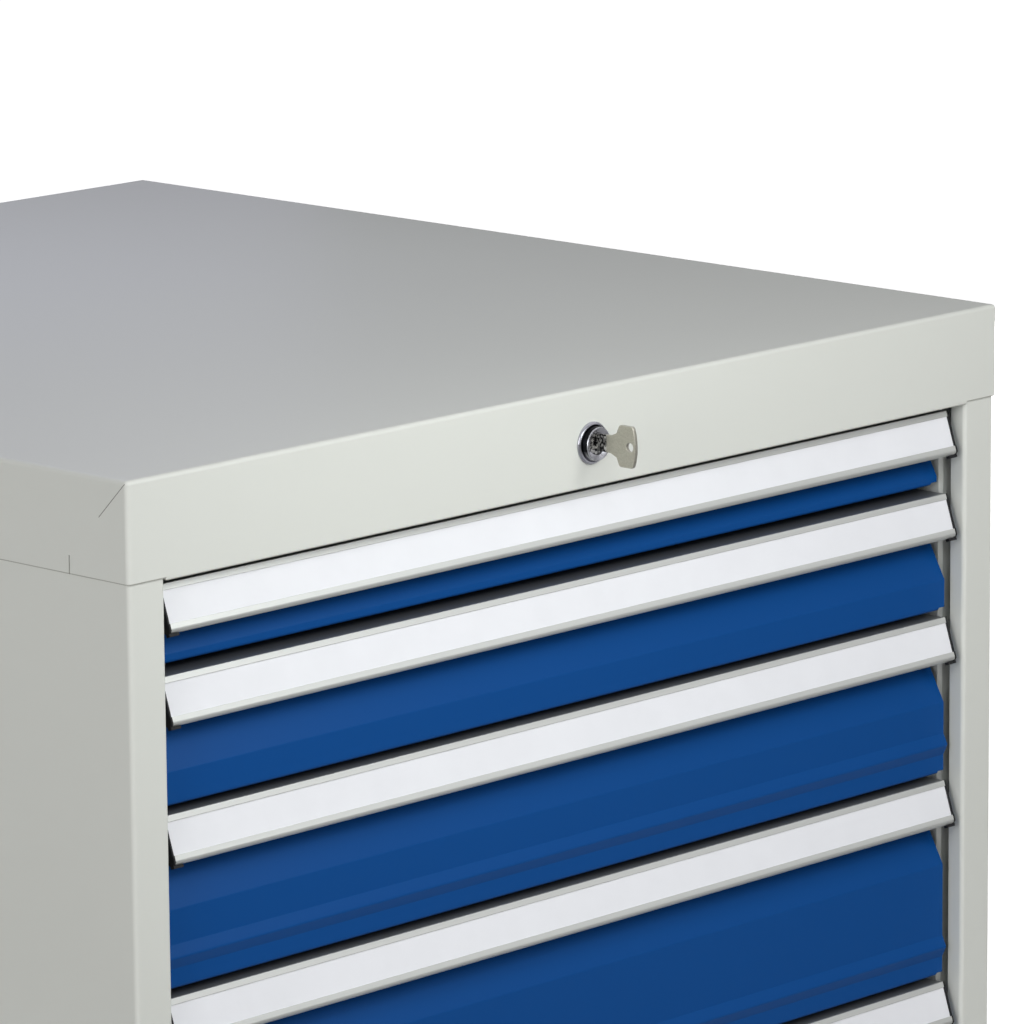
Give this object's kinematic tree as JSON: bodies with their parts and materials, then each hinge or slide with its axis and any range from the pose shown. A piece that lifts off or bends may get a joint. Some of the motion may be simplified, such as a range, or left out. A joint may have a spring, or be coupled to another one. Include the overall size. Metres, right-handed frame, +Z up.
{
  "type": "drawer cabinet",
  "caption": "Sheet-steel drawer cabinet: light grey housing with a capped top, blue full-width drawers with aluminium handle rails, full-extension runners and a central key lock.",
  "frame": {"origin": "on the floor under the middle of the top cover", "axes": "+X to the right of someone facing the drawers, +Y from the drawers to the back, +Z up"},
  "size_m": [0.705, 0.7696, 0.85],
  "materials": {
    "body_grey": "light grey powder coat, satin with a fine texture",
    "front_blue": "deep blue powder coat, satin",
    "tray_grey": "light grey powder coat, satin",
    "rail_aluminium": "natural anodised, fine lengthwise lines",
    "label_white": "white paper strip under clear film",
    "cap_plastic": "black moulded plastic",
    "zinc_steel": "bright zinc plated",
    "lock_chrome": "polished",
    "plug_metal": "polished, worn by the key",
    "key_metal": "nickel silver, satin"
  },
  "bodies": {
    "cabinet": {"top_cover": "body_grey", "left_side_panel": "body_grey", "right_side_panel": "body_grey", "back_panel": "body_grey", "base_tray": "body_grey", "plinth": "body_grey", "left_posts": "body_grey", "right_posts": "body_grey", "cabinet_members": "zinc_steel", "lock_housing": "lock_chrome", "lock_nut": "zinc_steel", "lock_bar_guides": "zinc_steel", "shaft_bracket": "zinc_steel"},
    "drawer_1": {"drawer_1_tray": "tray_grey", "drawer_1_front": "front_blue", "drawer_1_handle_rail": "rail_aluminium", "drawer_1_label_strip": "label_white", "drawer_1_end_caps": "cap_plastic", "drawer_1_drawer_members": "zinc_steel"},
    "drawer_2": {"drawer_2_tray": "tray_grey", "drawer_2_front": "front_blue", "drawer_2_handle_rail": "rail_aluminium", "drawer_2_label_strip": "label_white", "drawer_2_end_caps": "cap_plastic", "drawer_2_drawer_members": "zinc_steel"},
    "drawer_3": {"drawer_3_tray": "tray_grey", "drawer_3_front": "front_blue", "drawer_3_handle_rail": "rail_aluminium", "drawer_3_label_strip": "label_white", "drawer_3_end_caps": "cap_plastic", "drawer_3_drawer_members": "zinc_steel"},
    "drawer_4": {"drawer_4_tray": "tray_grey", "drawer_4_front": "front_blue", "drawer_4_handle_rail": "rail_aluminium", "drawer_4_label_strip": "label_white", "drawer_4_end_caps": "cap_plastic", "drawer_4_drawer_members": "zinc_steel"},
    "drawer_5": {"drawer_5_tray": "tray_grey", "drawer_5_front": "front_blue", "drawer_5_handle_rail": "rail_aluminium", "drawer_5_label_strip": "label_white", "drawer_5_end_caps": "cap_plastic", "drawer_5_drawer_members": "zinc_steel"},
    "drawer_6": {"drawer_6_tray": "tray_grey", "drawer_6_front": "front_blue", "drawer_6_handle_rail": "rail_aluminium", "drawer_6_label_strip": "label_white", "drawer_6_end_caps": "cap_plastic", "drawer_6_drawer_members": "zinc_steel"},
    "middle_1": {"drawer_1_middle_members": "zinc_steel"},
    "middle_2": {"drawer_2_middle_members": "zinc_steel"},
    "middle_3": {"drawer_3_middle_members": "zinc_steel"},
    "middle_4": {"drawer_4_middle_members": "zinc_steel"},
    "middle_5": {"drawer_5_middle_members": "zinc_steel"},
    "middle_6": {"drawer_6_middle_members": "zinc_steel"},
    "lock": {"lock_plug": "plug_metal", "key": "key_metal", "lock_shaft": "zinc_steel", "lock_crank": "zinc_steel"},
    "lock_bar": {"lock_bar": "zinc_steel"}
  },
  "joints": [
    {"name": "drawer_1_slide", "type": "slide", "parent": "cabinet", "child": "drawer_1", "axis": [0, -1, 0], "range_m": [0, 0.6]},
    {"name": "middle_1_slide", "type": "slide", "parent": "cabinet", "child": "middle_1", "axis": [0, -1, 0], "range_m": [0, 0.3]},
    {"name": "drawer_2_slide", "type": "slide", "parent": "cabinet", "child": "drawer_2", "axis": [0, -1, 0], "range_m": [0, 0.6]},
    {"name": "middle_2_slide", "type": "slide", "parent": "cabinet", "child": "middle_2", "axis": [0, -1, 0], "range_m": [0, 0.3]},
    {"name": "drawer_3_slide", "type": "slide", "parent": "cabinet", "child": "drawer_3", "axis": [0, -1, 0], "range_m": [0, 0.6]},
    {"name": "middle_3_slide", "type": "slide", "parent": "cabinet", "child": "middle_3", "axis": [0, -1, 0], "range_m": [0, 0.3]},
    {"name": "drawer_4_slide", "type": "slide", "parent": "cabinet", "child": "drawer_4", "axis": [0, -1, 0], "range_m": [0, 0.6]},
    {"name": "middle_4_slide", "type": "slide", "parent": "cabinet", "child": "middle_4", "axis": [0, -1, 0], "range_m": [0, 0.3]},
    {"name": "drawer_5_slide", "type": "slide", "parent": "cabinet", "child": "drawer_5", "axis": [0, -1, 0], "range_m": [0, 0.6]},
    {"name": "middle_5_slide", "type": "slide", "parent": "cabinet", "child": "middle_5", "axis": [0, -1, 0], "range_m": [0, 0.3]},
    {"name": "drawer_6_slide", "type": "slide", "parent": "cabinet", "child": "drawer_6", "axis": [0, -1, 0], "range_m": [0, 0.6]},
    {"name": "middle_6_slide", "type": "slide", "parent": "cabinet", "child": "middle_6", "axis": [0, -1, 0], "range_m": [0, 0.3]},
    {"name": "key_turn", "type": "hinge", "parent": "cabinet", "child": "lock", "pos_m": [0, -0.368, 0.8184], "axis": [0, 1, 0], "range_deg": [0, 90]},
    {"name": "lock_bar_slide", "type": "slide", "parent": "cabinet", "child": "lock_bar", "axis": [0, 0, 1], "range_m": [0, 0.01414]}
  ],
  "couplings": [
    {"joint": "middle_1_slide", "follows": "drawer_1_slide", "ratio": 0.5},
    {"joint": "middle_2_slide", "follows": "drawer_2_slide", "ratio": 0.5},
    {"joint": "middle_3_slide", "follows": "drawer_3_slide", "ratio": 0.5},
    {"joint": "middle_4_slide", "follows": "drawer_4_slide", "ratio": 0.5},
    {"joint": "middle_5_slide", "follows": "drawer_5_slide", "ratio": 0.5},
    {"joint": "middle_6_slide", "follows": "drawer_6_slide", "ratio": 0.5},
    {"joint": "key_turn", "follows": "lock_bar_slide", "rad_per_m": 111.08}
  ]
}
